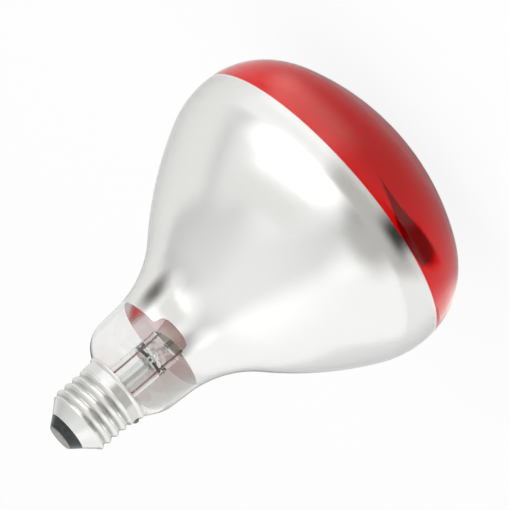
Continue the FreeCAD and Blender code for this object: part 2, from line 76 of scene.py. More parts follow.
# The films on the inside of the wall, and the mirror's bare window in the neck. The films'
# outsides are sunk a little into the glass, so that no air shows between them
FILM_GAP = 0.06
FILM_THICKNESS = 0.15
FILM_SUNK = 0.05
FILM_OUTSIDE = GLASS_WALL - FILM_SUNK
FILM_INSIDE = GLASS_WALL + FILM_GAP + FILM_THICKNESS
FILM_STEP = 0.25
RED_HEIGHT = 37.2
RED_LAST_ROW = RED_HEIGHT - 0.4
FACE_GLASS_HEIGHT = RED_HEIGHT + 0.3
MIRROR_LOWEST_ROW = RED_HEIGHT - 2
MIRROR_HEIGHT = 116.6
MIRROR_SEGMENTS = 240
MIRROR_ROWS = 100
WINDOW_WIDTH = 14.6
WINDOW_DEPTH = 4.3
WINDOW_SQUARENESS = 3.2

# Where the mirror thins: going up the neck, not beyond these places on the +X side, and
# letting light through only towards the back
THIN_UP = (90, 112)
THIN_SIDE = (9.5, 16.5)
THIN_BACK = (-4, 6)
THIN_ALPHA = 0.28
# The faces that are one-way glass start a little before that
ONE_WAY_ABOVE = 89.5
ONE_WAY_BEHIND = -4.5

# A painted dark reflection on the mirror's outside, beside the neck: its middle, one end, and its
# reach across and along
DARK_REFLECTION_AT = Vector((16.0, -16.0, 108.8))
DARK_REFLECTION_END = Vector((14.9, -14.0, 113.8))
DARK_REFLECTION_SIZE = Vector((6.2, 6.2, 11.5))
DARK_REFLECTION_COLOR = (0.095, 0.085, 0.068)

# The cap, measured up from its rim
CAP_OFFSET = 1.9
LEAN_POWER = 5
RIM_RADIUS = 14.0
RIM_CLEARANCE = 0.1
RIM_HEIGHT = 0.5
FLARE_HEIGHT = 1.6
SKIRT_RADIUS = 13.2
SKIRT_HEIGHT = 5.0
THREAD_RADIUS = 13.1
THREAD_DEPTH = 1.0
THREAD_ROOT = THREAD_RADIUS - THREAD_DEPTH
THREAD_PITCH = 3.629
THREAD_START = 2.43
BARREL_HEIGHT = 19.6
RIDGE_FULL = BARREL_HEIGHT - 1.0
RIDGE_GONE = BARREL_HEIGHT + 0.7
SHELL_HEIGHT = 24.2
MOUTH_RADIUS = 8.05
SHELL_WALL = 0.35
SHELL_SEGMENTS = 180
SHELL_ROWS_OUTSIDE = 190
SHELL_ROWS_INSIDE = 90
# Over the thread's root and under the barrel's top, where the painted shade in the roots ends
ROOT_SHADE_DEPTH = (0.02, 0.42)
ROOT_SHADE_END = 1.2

# The glass stem: between these heights its pinched glass turns into its smooth tube
STEM_RADIUS = 7.1
SEAL_GAP = 1.3
PRESS_TOP = (120.5, 124.5)

# The filament, which lies along X under the stem
FILAMENT_DROP = 52.0
COIL_LENGTH = 18.0
COIL_RADIUS = 1.1
COIL_TURNS = 30
COIL_STEPS = 20
COIL_WIRE_RADIUS = 0.19
COIL_WIRE_SIDES = 8
LEGS_LENGTH = 23.0


# Shapes

def crown_end():
    reach = (BULB_RADIUS - SHOULDER_RADIUS
             + (SHOULDER_RADIUS - KNUCKLE_RADIUS) * math.sin(KNUCKLE_ANGLE))
    return math.asin(reach / (CROWN_RADIUS - KNUCKLE_RADIUS))


def flank_end():
    reach = (NECK_RADIUS - (BULB_RADIUS - SHOULDER_RADIUS)
             - (SHOULDER_RADIUS - FLANK_RADIUS) * math.sin(SHOULDER_ANGLE)
             + THROAT_RADIUS * math.cos(NECK_TAPER))
    return math.pi - math.asin(reach / (FLANK_RADIUS + THROAT_RADIUS))


def inward(angle):
    """The direction into the bulb where the wall has turned by this angle from the face."""
    return Vector((-math.sin(angle), math.cos(angle)))


def bulb_outline(inset, step=BULB_STEP):
    """Points (radius, height) from the face's middle to the straight neck's end, moved inward."""
    arcs = [
        (CROWN_RADIUS, 0.0, crown_end()),
        (KNUCKLE_RADIUS, crown_end(), KNUCKLE_ANGLE),
        (SHOULDER_RADIUS, KNUCKLE_ANGLE, SHOULDER_ANGLE),
        (FLANK_RADIUS, SHOULDER_ANGLE, flank_end()),
        (-THROAT_RADIUS, flank_end(), NECK_ANGLE),
    ]
    at = Vector((0.0, 0.0))
    points = [Vector((0.0, inset))]
    for radius, start, end in arcs:
        count = max(4, round(abs(radius * (end - start)) / step))
        for i in range(1, count + 1):
            angle = start + (end - start) * i / count
            spot = at + radius * (inward(start) - inward(angle))
            points.append(spot + inset * inward(angle))
        at = points[-1] - inset * inward(end)
    straight = NECK_LENGTH * Vector((-math.sin(NECK_TAPER), math.cos(NECK_TAPER)))
    points.append(at + straight + inset * inward(NECK_ANGLE))
    return points


def end_arc_height(inset, radius):
    """The height at which the neck's rounded end, moved inward, has this radius."""
    return END_ARC.y + math.sqrt((NECK_END_RADIUS - inset) ** 2 - (radius - END_ARC.x) ** 2)


NECK_TOP = bulb_outline(0)[-1]
END_ARC = NECK_TOP + NECK_END_RADIUS * Vector((-math.cos(NECK_TAPER), -math.sin(NECK_TAPER)))
SEAL_Z = end_arc_height(GLASS_WALL, STEM_RADIUS + SEAL_GAP)
RIM_Z = end_arc_height(0, RIM_RADIUS - SHELL_WALL - RIM_CLEARANCE)
FILAMENT_MIDDLE = Vector((-CAP_OFFSET, 0, SEAL_Z - FILAMENT_DROP))


def neck_end_outline(inset):
    """Rings (centre x, radius, height) of the neck's rounded end, leaning to the cap's axis."""
    rings = []
    for i in range(NECK_END_ROWS + 1):
        z = NECK_TOP.y + (SEAL_Z - NECK_TOP.y) * math.sin(math.pi / 2 * i / NECK_END_ROWS)
        lean = min((z - NECK_TOP.y) / (RIM_Z - NECK_TOP.y), 1) ** LEAN_POWER
        radius = END_ARC.x + math.sqrt((NECK_END_RADIUS - inset) ** 2 - (z - END_ARC.y) ** 2)
        rings.append((-CAP_OFFSET * lean, radius, z))
    return rings


def smooth_step(low, high, value):
    share = min(max((value - low) / (high - low), 0), 1)
    return share * share * (3 - 2 * share)


def ring(centre, radius, z, segments):
    """A ring of points. radius and z are numbers, or functions of the angle round the ring."""
    points = []
    for i in range(segments):
        turn = 2 * math.pi * i / segments
        r = radius(turn) if callable(radius) else radius
        height = z(turn) if callable(z) else z
        points.append(Vector((centre + r * math.cos(turn), r * math.sin(turn), height)) * MM)
    return points


def add_object(name, data):
    thing = bpy.data.objects.new(name, data)
    bpy.context.scene.collection.objects.link(thing)
    return thing


def outward(mesh):
    """Turns the mesh's faces so that their normals point out of the solid."""
    work = bmesh.new()
    work.from_mesh(mesh)
    bmesh.ops.recalc_face_normals(work, faces=work.faces)
    work.to_mesh(mesh)
    work.free()


def skin(name, rows, materials, start=None, end=None):
    """A closed surface through rows of points.

    start and end are the middle points that close it. Without them the last row joins the first.
    """
    segments = len(rows[0])
    points = [p for row in rows for p in row]
    faces = []
    pairs = [(a, a + 1) for a in range(len(rows) - 1)]
    if start is None:
        pairs.append((len(rows) - 1, 0))
    for a, b in pairs:
        for i in range(segments):
            j = (i + 1) % segments
            faces.append((a * segments + i, a * segments + j, b * segments + j, b * segments + i))
    if start is not None:
        first, last = len(points), (len(rows) - 1) * segments
        points += [Vector(start) * MM, Vector(end) * MM]
        for i in range(segments):
            j = (i + 1) % segments
            faces += [(first, j, i), (first + 1, last + i, last + j)]
    mesh = bpy.data.meshes.new(name)
    mesh.from_pydata(points, [], faces)
    mesh.validate()
    piece = add_object(name, mesh)
    mesh.polygons.foreach_set("use_smooth", [True] * len(mesh.polygons))
    outward(mesh)
    mesh.set_sharp_from_angle(angle=SHARP_ANGLE)
    for material in materials:
        mesh.materials.append(material)
    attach(piece, "root")
    return piece


# Materials

# The Mix node's sockets for colours, which share their names with its other kinds
MIX_SHARE, MIX_FIRST, MIX_SECOND, MIX_RESULT = 0, 6, 7, 2
ALIKE = (1, 1, 1)


def shader(name):
    material = bpy.data.materials.new(name)
    material.use_nodes = True
    return material, *parts_of(material)


def parts_of(material):
    tree = material.node_tree
    return tree.nodes, tree.links, tree.nodes["Principled BSDF"]


def object_place(nodes):
    return nodes.new("ShaderNodeTexCoord").outputs["Object"]


def object_axes(nodes, links):
    """The place on the object, as one socket for each axis."""
    place = nodes.new("ShaderNodeSeparateXYZ")
    links.new(object_place(nodes), place.inputs[0])
    return place.outputs


def object_noise(nodes, links, scale, detail, stretch=ALIKE, roughness=0.5):
    mapping = nodes.new("ShaderNodeMapping")
    mapping.inputs["Scale"].default_value = stretch
    texture = nodes.new("ShaderNodeTexNoise")
    texture.inputs["Scale"].default_value = scale
    texture.inputs["Detail"].default_value = detail
    texture.inputs["Roughness"].default_value = roughness
    links.new(object_place(nodes), mapping.inputs["Vector"])
    links.new(mapping.outputs["Vector"], texture.inputs["Vector"])
    return texture.outputs["Fac"]


def ramp(nodes, links, source, stops, values, target):
    """Drives a target socket from one value to the other between two stops of the source."""
    node = nodes.new("ShaderNodeValToRGB")
    for element, place, value in zip(node.color_ramp.elements, stops, values):
        element.position = place
        element.color = (*value, 1) if isinstance(value, tuple) else (value, value, value, 1)
    links.new(source, node.inputs["Fac"])
    links.new(node.outputs["Color"], target)


def bump(nodes, links, source, strength, distance):
    node = nodes.new("ShaderNodeBump")
    node.inputs["Strength"].default_value = strength
    node.inputs["Distance"].default_value = distance
    links.new(source, node.inputs["Height"])
    links.new(node.outputs["Normal"], nodes["Principled BSDF"].inputs["Normal"])
    return node


def fade(nodes, links, source, limits, values):
    """A smooth step of the source between two limits, from one value to the other."""
    node = nodes.new("ShaderNodeMapRange")
    node.interpolation_type = "SMOOTHSTEP"
    node.inputs["From Min"].default_value, node.inputs["From Max"].default_value = limits
    node.inputs["To Min"].default_value, node.inputs["To Max"].default_value = values
    links.new(source, node.inputs["Value"])
    return node.outputs["Result"]


def in_metres(limits):
    return tuple(limit * MM for limit in limits)


def arithmetic(nodes, links, operation, *terms):
    """The result of a maths node on two terms, each a socket or a number."""
    node = nodes.new("ShaderNodeMath")
    node.operation = operation
    for term, target in zip(terms, node.inputs):
        if isinstance(term, (int, float)):
            target.default_value = term
        else:
            links.new(term, target)
    return node.outputs[0]


def vector_length(nodes, links, source):
    node = nodes.new("ShaderNodeVectorMath")
    node.operation = "LENGTH"
    links.new(source, node.inputs[0])
    return node.outputs["Value"]


def stain(material, share, color):
    """Mixes a plain colour over the material's own, by a share from 0 to 1."""
    nodes, links, principled = parts_of(material)
    target = principled.inputs["Base Color"]
    mix = nodes.new("ShaderNodeMix")
    mix.data_type = "RGBA"
    mix.inputs[MIX_SECOND].default_value = (*color, 1)
    links.new(share, mix.inputs[MIX_SHARE])
    links.new(target.links[0].from_socket, mix.inputs[MIX_FIRST])
    links.new(mix.outputs[MIX_RESULT], target)


def mottled(name, colors, scale, detail, stops=(0.3, 0.7), stretch=ALIKE):
    """A material whose colour runs between two by noise. Returns it with the noise's socket."""
    material, nodes, links, principled = shader(name)
    noise = object_noise(nodes, links, scale, detail, stretch)
    ramp(nodes, links, noise, stops, colors, principled.inputs["Base Color"])
    return material, noise


def metal(name, colors, roughness, scale, detail=5, stretch=ALIKE, depth=0.0):
    """Metal whose colour and roughness run together by noise, with a relief if depth is given."""
    material, noise = mottled(name, colors, scale, detail, stretch=stretch)
    nodes, links, principled = parts_of(material)
    ramp(nodes, links, noise, (0.3, 0.7), roughness, principled.inputs["Roughness"])
    principled.inputs["Metallic"].default_value = 1
    if depth:
        bump(nodes, links, noise, strength=0.6, distance=depth)
    return material


def glass(name, color, ior=1.51):
    material, _, _, principled = shader(name)
    principled.inputs["Base Color"].default_value = (*color, 1)
    principled.inputs["Transmission Weight"].default_value = 1
    principled.inputs["Roughness"].default_value = 0.0
    principled.inputs["IOR"].default_value = ior
    return material


def press_glass():
    """The stem's glass, smooth along its tube and folded in swirls where the press pinched it."""
    material = glass("stem_glass", (0.985, 0.99, 0.985))
    nodes, links, _ = parts_of(material)
    swirl = object_noise(nodes, links, scale=330, detail=1.0, stretch=(1, 1, 0.6), roughness=0.4)
    folds = bump(nodes, links, swirl, strength=1.0, distance=0.0009)
    height = object_axes(nodes, links)["Z"]
    strength = fade(nodes, links, height, in_metres(PRESS_TOP), (1.0, 0.0))
    links.new(strength, folds.inputs["Strength"])
    return material


def thin_film(nodes, links):
    """How thin the mirror film is, 0 to 1, and how much light that lets through."""
    place = object_axes(nodes, links)
    up = fade(nodes, links, place["Z"], in_metres(THIN_UP), (0, 1))
    side = fade(nodes, links, place["X"], in_metres(THIN_SIDE), (1, 0))
    thin = arithmetic(nodes, links, "MULTIPLY", up, side)
    back = fade(nodes, links, place["Y"], in_metres(THIN_BACK), (0, 1))
    return thin, arithmetic(nodes, links, "MULTIPLY", thin, back)


def mirror(name):
    """The aluminium film from outside: softly cloudy, over the slight ripple of a blown wall."""
    material = metal(name, ((0.90, 0.897, 0.885), (0.93, 0.928, 0.92)), roughness=(0.11, 0.15),
                     scale=14, detail=3)
    nodes, links, _ = parts_of(material)
    ripple = object_noise(nodes, links, scale=22, detail=1.5, stretch=(1, 1, 1.6))
    bump(nodes, links, ripple, strength=1.0, distance=0.00001)
    # a painted dark reflection beside the neck, darkening the mirror's colour in a soft streak
    dark_reflection = nodes.new("ShaderNodeMapping")
    dark_reflection.vector_type = "TEXTURE"
    dark_reflection.inputs["Location"].default_value = DARK_REFLECTION_AT * MM
    lean = (DARK_REFLECTION_END - DARK_REFLECTION_AT).to_track_quat("Z", "Y").to_euler()
    dark_reflection.inputs["Rotation"].default_value = lean
    dark_reflection.inputs["Scale"].default_value = DARK_REFLECTION_SIZE * MM
    links.new(object_place(nodes), dark_reflection.inputs["Vector"])
    away = vector_length(nodes, links, dark_reflection.outputs["Vector"])
    stain(material, fade(nodes, links, away, (0.1, 1.0), (0.9, 0.0)), DARK_REFLECTION_COLOR)
    return material


def mirror_inside():
    """The film's back: a clean mirror in the bulb, thinning to a pale satin edge in the neck."""
    material, _ = mottled("mirror_film_inside", ((0.86, 0.84, 0.80), (0.93, 0.92, 0.90)),
                          scale=60, detail=3)
    nodes, links, principled = parts_of(material)
    thin, clear = thin_film(nodes, links)
    for share, name, values in ((clear, "Alpha", (1.0, THIN_ALPHA)),
                                (thin, "Metallic", (1.0, 0.12)),
                                (thin, "Roughness", (0.03, 0.32))):
        links.new(fade(nodes, links, share, (0, 1), values), principled.inputs[name])
    stain(material, thin, (0.70, 0.97, 0.92))
    return material


def one_way(material):
    """Lets light out through the thin film at the back of the neck, as a one-way mirror does."""
    nodes, links, principled = parts_of(material)
    inner_side = nodes.new("ShaderNodeNewGeometry").outputs["Backfacing"]
    clear = arithmetic(nodes, links, "MULTIPLY", inner_side, thin_film(nodes, links)[1])
    links.new(fade(nodes, links, clear, (0, 1), (1.0, THIN_ALPHA)), principled.inputs["Alpha"])
    return material


def cap_metal():
    """Bright zinc-coated brass, with painted shade darkening the roots of the rolled thread."""
    material = metal("cap_metal", ((0.78, 0.785, 0.765), (0.84, 0.845, 0.825)),
                     roughness=(0.15, 0.21), scale=60, stretch=(1, 1, 3))
    nodes, links, _ = parts_of(material)
    # the place moved onto the cap's axis and pressed flat, so that its length is the radius
    across = nodes.new("ShaderNodeVectorMath")
    across.operation = "MULTIPLY_ADD"
    across.inputs[1].default_value = (1, 1, 0)
    across.inputs[2].default_value = (CAP_OFFSET * MM, 0, 0)
    links.new(object_place(nodes), across.inputs[0])
    radius = vector_length(nodes, links, across.outputs["Vector"])
    # painted shade: the metal turns darker grey near the thread's root, ending just under the
    # barrel's top
    limits = in_metres((THREAD_ROOT + ROOT_SHADE_DEPTH[0], THREAD_ROOT + ROOT_SHADE_DEPTH[1]))
    low = fade(nodes, links, radius, limits, (1.0, 0.0))
    top = RIM_Z + BARREL_HEIGHT
    height = object_axes(nodes, links)["Z"]
    below = fade(nodes, links, height, in_metres((top - ROOT_SHADE_END, top)), (1.0, 0.0))
    stain(material, arithmetic(nodes, links, "MULTIPLY", low, below), (0.50, 0.50, 0.47))
    return material


def red_film():
    colors = ((0.93, 0.014, 0.018), (0.955, 0.022, 0.026))
    material, _ = mottled("red_film", colors, scale=18, detail=2, stops=(0.35, 0.65))
    _, _, principled = parts_of(material)
    principled.inputs["Transmission Weight"].default_value = 1
    principled.inputs["Roughness"].default_value = 0.0
    principled.inputs["IOR"].default_value = 1.05
    return material


def black_glass():
    colors = ((0.008, 0.011, 0.011), (0.026, 0.032, 0.032))
    material, noise = mottled("black_glass", colors, scale=420, detail=4, stops=(0.35, 0.75))
    nodes, links, principled = parts_of(material)
    principled.inputs["Roughness"].default_value = 0.16
    principled.inputs["IOR"].default_value = 1.52
    bump(nodes, links, noise, strength=0.5, distance=0.00012)
    return material


def cement():
    colors = ((0.45, 0.38, 0.29), (0.62, 0.55, 0.44))
    material, noise = mottled("cement", colors, scale=900, detail=6)
    nodes, links, principled = parts_of(material)
    principled.inputs["Roughness"].default_value = 0.9
    bump(nodes, links, noise, strength=0.8, distance=0.0002)
    return material


# Metals: name, dark colour, light colour, roughness from dark to light, the noise's scale, and
# the depth of its relief
METALS = [
    ("heat_shield", (0.95, 0.90, 0.80), (0.98, 0.95, 0.88), (0.34, 0.46), 260, 0),
    ("copper_lead", (0.24, 0.055, 0.035), (0.42, 0.12, 0.08), (0.25, 0.4), 300, 0),
    ("seal_wire", (0.35, 0.08, 0.05), (0.55, 0.16, 0.10), (0.3, 0.4), 300, 0),
    ("nickel", (0.52, 0.49, 0.45), (0.66, 0.63, 0.58), (0.16, 0.3), 240, 0),
    ("tungsten", (0.16, 0.16, 0.17), (0.28, 0.28, 0.29), (0.3, 0.45), 500, 0),
    ("hook_wire", (0.25, 0.25, 0.26), (0.4, 0.4, 0.41), (0.25, 0.4), 500, 0),
    ("contact_metal", (0.33, 0.32, 0.30), (0.46, 0.45, 0.43), (0.35, 0.55), 700, 0.00008),
    ("solder", (0.30, 0.29, 0.24), (0.5, 0.49, 0.45), (0.25, 0.5), 500, 0.0002),
    ("side_solder", (0.13, 0.12, 0.06), (0.26, 0.24, 0.16), (0.25, 0.5), 500, 0.0002),
]


# Pieces

def glass_envelope(material, face_material):
    sides = []
    for inset in (0, GLASS_WALL):
        side = [ring(0, p.x, p.y, BULB_SEGMENTS) for p in bulb_outline(inset)[1:]]
        side += [ring(*r, BULB_SEGMENTS) for r in neck_end_outline(inset)[1:]]
        sides.append(side)
    piece = skin("glass_bulb", sides[0] + sides[1][::-1], [material, face_material],
                 start=(0, 0, 0), end=(0, 0, GLASS_WALL))
    for face in piece.data.polygons:
        face.material_index = 1 if face.center.z < FACE_GLASS_HEIGHT * MM else 0
    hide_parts("glass_envelope")


def film_outline(inset):
    """The wall's outline moved inward, as a function from height to radius."""
    line = [p for p in bulb_outline(inset, FILM_STEP) if p.y >= MIRROR_LOWEST_ROW]
    heights = [p.y for p in line]

    def radius(z):
        i = min(max(bisect.bisect(heights, z), 1), len(line) - 1)
        a, b = line[i - 1], line[i]
        return a.x + (b.x - a.x) * (z - a.y) / (b.y - a.y)
    return radius


def red_coating(material):
    sides = []
    for inset in (FILM_OUTSIDE, FILM_INSIDE):
        side = [ring(0, p.x, p.y, BULB_SEGMENTS) for p in bulb_outline(inset)[1:]
                if p.y < RED_LAST_ROW]
        side.append(ring(0, film_outline(inset)(RED_HEIGHT), RED_HEIGHT, BULB_SEGMENTS))
        sides.append(side)
    piece = skin("red_face_film", sides[0] + sides[1][::-1], [material],
                 start=(0, 0, FILM_OUTSIDE), end=(0, 0, FILM_INSIDE))
    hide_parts("red_coating")


def mirror_top(turn):
    """The mirror's upper edge, with the bare window's round notch on the -Y side."""
    share = abs(NECK_RADIUS * math.cos(turn)) / (WINDOW_WIDTH / 2)
    if math.sin(turn) > 0 or share >= 1:
        return MIRROR_HEIGHT
    notch = (1 - share ** WINDOW_SQUARENESS) ** (1 / WINDOW_SQUARENESS)
    return MIRROR_HEIGHT - WINDOW_DEPTH * notch


def mirror_coating(outside, inside, edge):
    """The mirror, with its own materials inside and on the one-way faces of its outside."""
    sides = []
    for inset in (FILM_OUTSIDE, FILM_INSIDE):
        outline = film_outline(inset)
        side = []
        for i in range(MIRROR_ROWS + 1):
            def height(turn):
                return RED_HEIGHT + (mirror_top(turn) - RED_HEIGHT) * i / MIRROR_ROWS
            side.append(ring(0, lambda turn: outline(height(turn)), height, MIRROR_SEGMENTS))
        sides.append(side)
    piece = skin("mirror_film", sides[0] + sides[1][::-1], [outside, inside, edge])
    for face in piece.data.polygons:
        if face.index >= (MIRROR_ROWS + 1) * MIRROR_SEGMENTS:
            face.material_index = 1
        elif face.center.z > ONE_WAY_ABOVE * MM and face.center.y > ONE_WAY_BEHIND * MM:
            face.material_index = 2
    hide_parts("mirror_coating")


def shell_radius(z, turn, inset):
    """The screw shell's radius at a height over its rim and a turn round it."""
    if z <= RIM_HEIGHT:
        base = RIM_RADIUS
    elif z <= FLARE_HEIGHT:
        flare = smooth_step(RIM_HEIGHT, FLARE_HEIGHT, z)
        base = RIM_RADIUS + (SKIRT_RADIUS - RIM_RADIUS) * flare
    elif z <= SKIRT_HEIGHT:
        base = SKIRT_RADIUS
    elif z <= BARREL_HEIGHT:
        sink = smooth_step(SKIRT_HEIGHT, SKIRT_HEIGHT + THREAD_DEPTH, z)
        base = SKIRT_RADIUS + (THREAD_ROOT - SKIRT_RADIUS) * sink
    else:
        climb = (z - BARREL_HEIGHT) / (SHELL_HEIGHT - BARREL_HEIGHT)
        base = THREAD_ROOT + (MOUTH_RADIUS - THREAD_ROOT) * climb
    if z > SKIRT_HEIGHT:
        phase = (z - THREAD_START) / THREAD_PITCH - turn / (2 * math.pi)
        ridge = THREAD_DEPTH * (0.5 + 0.5 * math.cos(2 * math.pi * phase))
        foot = base if z > BARREL_HEIGHT else THREAD_ROOT
        base = max(base, foot + ridge * smooth_step(RIDGE_GONE, RIDGE_FULL, z))
    return base - inset


def cap_shell(material):
    sides = []
    for inset, count in ((0, SHELL_ROWS_OUTSIDE), (SHELL_WALL, SHELL_ROWS_INSIDE)):
        side = []
        for i in range(count + 1):
            z = SHELL_HEIGHT * i / count
            side.append(ring(-CAP_OFFSET, lambda turn: shell_radius(z, turn, inset), RIM_Z + z,
                             SHELL_SEGMENTS))
        sides.append(side)
    piece = skin("screw_shell", sides[0] + sides[1][::-1], [material])
    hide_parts("cap_shell")


def filament_way():
    """Points along the filament's wire: a leg on the coil's axis, the turns, the other leg."""
    winding = COIL_RADIUS - COIL_WIRE_RADIUS
    half, leg = COIL_LENGTH / 2 - COIL_WIRE_RADIUS, LEGS_LENGTH / 2
    way = [Vector((-x, 0, 0)) for x in (leg, (leg + half) / 2, COIL_LENGTH / 2)]
    for i in range(COIL_TURNS * COIL_STEPS + 1):
        share = i / (COIL_TURNS * COIL_STEPS)
        turn = 2 * math.pi * i / COIL_STEPS
        radius = winding * smooth_step(0, 0.5 / COIL_TURNS, min(share, 1 - share))
        way.append(Vector((half * (2 * share - 1), radius * math.cos(turn),
                           radius * math.sin(turn))))
    return way + [Vector((-p.x, p.y, p.z)) for p in way[2::-1]]


def filament(material):
    """The tungsten wire, wound into its coil."""
    way = filament_way()
    rows = []
    across = Vector((0, 0, 1))
    for i, p in enumerate(way):
        along = (way[min(i + 1, len(way) - 1)] - way[max(i - 1, 0)]).normalized()
        across = (across - along * across.dot(along)).normalized()
        side = along.cross(across)
        row = []
        for j in range(COIL_WIRE_SIDES):
            turn = 2 * math.pi * j / COIL_WIRE_SIDES
            spot = p + COIL_WIRE_RADIUS * (math.cos(turn) * across + math.sin(turn) * side)
            row.append((spot + FILAMENT_MIDDLE) * MM)
        rows.append(row)
    piece = skin("filament_coil", rows, [material],
                 start=way[0] + FILAMENT_MIDDLE, end=way[-1] + FILAMENT_MIDDLE)
    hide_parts("filament")


def wire_metals():
    """The metals of the wires, the heat shield, the contact and the solder, by name."""
    metals = {}
    for name, dark, light, roughness, scale, depth in METALS:
        metals[name] = metal(name, (dark, light), roughness, scale, depth=depth)
    # the shield is a pale satin plate, hardly a mirror
    parts_of(metals["heat_shield"])[2].inputs["Metallic"].default_value = 0.05
    return metals


def dress(frame, metals):
    """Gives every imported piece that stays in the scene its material."""
    tube = glass("tube_glass", (0.985, 0.99, 0.985))
    finishes = [
        (press_glass(), ["stem_glass"]),
        (tube, ["exhaust_tube", "support_rod"]),
        (metals["copper_lead"], ["outer_lead_1", "outer_lead_2"]),
        (metals["seal_wire"], ["seal_wire_1", "seal_wire_2"]),
        (metals["nickel"], ["inner_lead_1", "inner_lead_2", "shield_wire_1", "shield_wire_2"]),
        (metals["heat_shield"], ["heat_shield"]),
        (metals["hook_wire"], ["filament_hook_1", "filament_hook_2", "filament_hook_3"]),
        (black_glass(), ["cap_insulator"]),
        (metals["contact_metal"], ["centre_contact"]),
        (metals["solder"], ["centre_solder"]),
        (metals["side_solder"], ["side_solder"]),
        (cement(), ["basing_cement"]),
    ]
    for material, names in finishes:
        for name in names:
            for place in frame["nodes"][name].material_slots:
                place.material = material


# Camera, floor and light

# The photograph's camera: where it stands, and how far the picture is turned
CAMERA_TURN = math.radians(40.773)
CAMERA_RISE = math.radians(14.367)
CAMERA_DISTANCE = 1.2
FACE_IN_VIEW = Vector((0.05095, 0.04123, -CAMERA_DISTANCE))
LENS = 228.1
SENSOR_WIDTH = 36

FLOOR_REACH = 12
FLOOR_GREY = (0.85, 0.85, 0.85)
WHITE = (1, 1, 1)
# How white the floor's own glow makes it, by the kind of ray that sees it
FLOOR_GLOW = {"Is Camera Ray": 0.9, "Is Glossy Ray": 0.15, "Is Transmission Ray": 0.45}

# The studio round the lamp: azimuth, elevation, full within, gone beyond (degrees), and what
# each panel adds to the plain studio's strength
STUDIO = 0.74
PANELS = [
    (36, -2, 14, 50, 0.62),
    (22, 12, 4, 48, 0.36),
    (-105, 15, 43, 65, 0.30),
    (0, 90, 15, 60, 0.18),
    (-33, 2, 4, 28, -0.30),
    (-14, -3, 3, 20, -0.12),
    (68, 25, 6, 26, 0.26),
    (95, 50, 12, 45, -0.13),
    (-46, 25, 4, 20, 0.20),
]

KEY_SIZE = 0.9
KEY_ENERGY = 9
KEY_DISTANCE = 1.5
KEY_TARGET = Vector((0, 0, 0.07))

# Curved upright cards: name, azimuths (degrees), heights and distance (metres), shade, the
# share of the card that fades at its edges, and whether glass shows it
CARDS = [
    ("grey_card_front", (-58, -4), (0, 0.11), 0.118, (0.52, 0.515, 0.50), 0.45, True),
    ("dark_card_front", (-54, -18), (0, 0.038), 0.115, (0.03, 0.027, 0.027), 0.42, True),
    ("grey_card_right", (66, 164), (0, 0.16), 0.115, (0.86, 0.86, 0.85), 0.2, True),
    ("grey_card_back", (205, 260), (0, 0.12), 0.13, (0.84, 0.845, 0.85), 0.2, True),
    ("edge_card_right", (161, 176), (0, 0.22), 0.20, (0.32, 0.34, 0.36), 0.2, False),
    ("edge_card_left", (184, 206), (0, 0.22), 0.20, (0.42, 0.43, 0.43), 0.1, False),
    ("side_card_right", (116, 160), (0, 0.30), 0.32, (0.86, 0.86, 0.86), 0.15, True),
    ("throat_card", (-16, 80), (0.126, 0.205), 0.165, (0.84, 0.84, 0.83), 0.3, True),
]
CARD_GRID = (40, 24)

# The dark card on the floor, a painted shadow under the lamp's far side, that shows through the
# red face:
# its outline, and the shares of it at which the card is whole and gone
SHADOW_CARD_OUTLINE = [(-6, 34.5), (-20, 38.5), (-36, 36.5), (-43, 38.5), (-47, 52), (-46, 69),
                (-36, 70), (-26, 60), (-21, 52), (-15, 44)]
SHADOW_CARD_SHADE = (0.15, 0.10, 0.08)
SHADOW_CARD_WHOLE = 0.88
SHADOW_CARD_GONE = 1.06

# Parts of rings on the floor: name, azimuths (degrees), distances, shade, the share that
# fades at the edges, whether mirrors show it and whether glass does
FLOOR_SECTORS = [
    ("neck_floor_card", (178.6, 214), (465, 5000), (0.47, 0.465, 0.44), 0.05, False, True),
    ("cap_floor_card", (-62, -16), (400, 950), (0.56, 0.56, 0.54), 0.35, True, False),
    ("front_floor_card", (-80, 22), (105, 4000), (0.52, 0.505, 0.48), 0.18, True, True),
    ("crescent_floor_card", (-74, -32), (74, 124), (0.12, 0.11, 0.11), 0.25, True, False),
    ("bright_floor_card", (2, 84), (58, 260), (3.0, 2.9, 2.7), 0.3, True, False),
    ("bright_floor_card_left", (-140, -80), (62, 180), (1.7, 1.65, 1.6), 0.35, True, False),
]
SECTOR_GRID = (36, 36)
FLOOR_CARD_HEIGHT = 0.3


def camera_axes():
    """The camera's right, up and back, as columns in the lamp's frame."""
    s, c = math.sin(CAMERA_TURN), math.cos(CAMERA_TURN)
    st, ct = math.sin(CAMERA_RISE), math.cos(CAMERA_RISE)
    return Matrix(((-s, c, 0), (-st * c, -st * s, -ct), (-ct * c, -ct * s, st)))


def make_camera():
    data = bpy.data.cameras.new("camera")
    data.lens = LENS
    data.sensor_width = SENSOR_WIDTH
    data.clip_start = 0.01
    camera = add_object("camera", data)
    axes = camera_axes()
    camera.matrix_world = Matrix.Translation(-(axes @ FACE_IN_VIEW)) @ axes.to_4x4()
    bpy.context.scene.camera = camera


def look(azimuth, elevation):
    """A direction from the lamp, in degrees: azimuth from -Y to +X, elevation over the floor."""
    a, e = math.radians(azimuth), math.radians(elevation)
    return Vector((math.cos(e) * math.sin(a), -math.cos(e) * math.cos(a), math.sin(e)))


def key_light(azimuth, elevation):
    data = bpy.data.lights.new("key", "AREA")
    data.energy = KEY_ENERGY
    data.shape = "RECTANGLE"
    data.size = data.size_y = KEY_SIZE
    light = add_object("key", data)
    light.location = KEY_TARGET + look(azimuth, elevation) * KEY_DISTANCE
    light.rotation_euler = (KEY_TARGET - light.location).to_track_quat("-Z", "Y").to_euler()
    light.visible_camera = False
    light.visible_glossy = False
    light.visible_transmission = False


